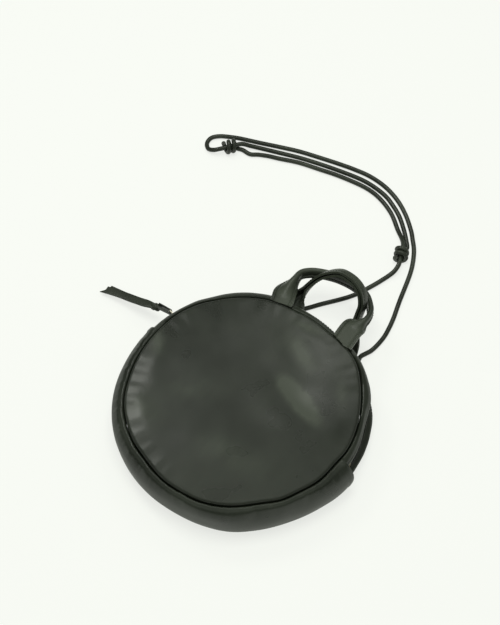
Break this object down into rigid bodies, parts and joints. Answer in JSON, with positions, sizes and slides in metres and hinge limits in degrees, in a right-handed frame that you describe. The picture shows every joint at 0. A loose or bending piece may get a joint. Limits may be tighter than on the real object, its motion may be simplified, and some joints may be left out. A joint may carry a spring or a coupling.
{
  "type": "round carry bag",
  "caption": "Flat round leather bag with a zipped curved gusset, paired folded-strap handles and a long knotted lace to hang it by.",
  "frame": {"origin": "centre of the back panel's resting face", "axes": "+Z from the resting face through the bag's depth to the front panel; +Y towards the handles; +X to the right seen from the front with the handles up"},
  "size_m": [0.3839, 0.4548, 0.0697],
  "materials": {
    "leather": "satin black leather, softly mottled",
    "strap_leather": "satin black leather, smoother and a little lighter",
    "zip": "aged brass teeth on black woven tape",
    "brass": "aged brass",
    "lace": "round rolled leather lace with a rubbed top",
    "lining": "plain black woven lining"
  },
  "bodies": {
    "bag": {"front_panel": "leather", "back_panel": "leather", "lower_gusset": "leather", "zip_gusset_front": "leather", "zip_gusset_back": "leather", "zip_chain_front": "zip", "zip_chain_back": "zip", "zip_top_stop_front": "brass", "zip_top_stop_back": "brass", "zip_bottom_stop": "brass", "cord_right": "lace", "cord_left": "lace", "lining_front": "lining", "lining_back": "lining", "lining_gusset": "lining"},
    "slider": {"slider_body": "brass"},
    "link": {"pull_link": "brass"},
    "thong": {"pull_thong": "strap_leather"},
    "front_handle": {"handle_front": "strap_leather"},
    "back_handle": {"handle_back": "strap_leather"}
  },
  "joints": [
    {"name": "slider_travel", "type": "hinge", "parent": "bag", "child": "slider", "pos_m": [0, 0, 0.026], "axis": [0, 0, 1], "range_deg": [-150, 6], "deforming": ["zip_chain_front", "zip_chain_back", "pull_thong"]},
    {"name": "pull_link_swing", "type": "hinge", "parent": "slider", "child": "link", "pos_m": [-0.11831, 0.03844, 0.026], "axis": [0, 0, 1], "range_deg": [-90, 83], "deforming": ["pull_thong"]},
    {"name": "pull_thong_swing", "type": "hinge", "parent": "link", "child": "thong", "pos_m": [-0.1322, 0.042, 0.026], "axis": [-0.1305, 0.9914, 0], "range_deg": [0, 110], "deforming": ["pull_thong"]},
    {"name": "handle_front_swing", "type": "hinge", "parent": "bag", "child": "front_handle", "pos_m": [0, 0.1095, 0.0515], "axis": [1, 0, 0], "range_deg": [-2, 150], "stiffness_Nm_per_rad": 0.3},
    {"name": "handle_back_swing", "type": "hinge", "parent": "bag", "child": "back_handle", "pos_m": [0, 0.1185, 0.0014], "axis": [1, 0, 0], "range_deg": [0, 4.5], "stiffness_Nm_per_rad": 0.3}
  ]
}
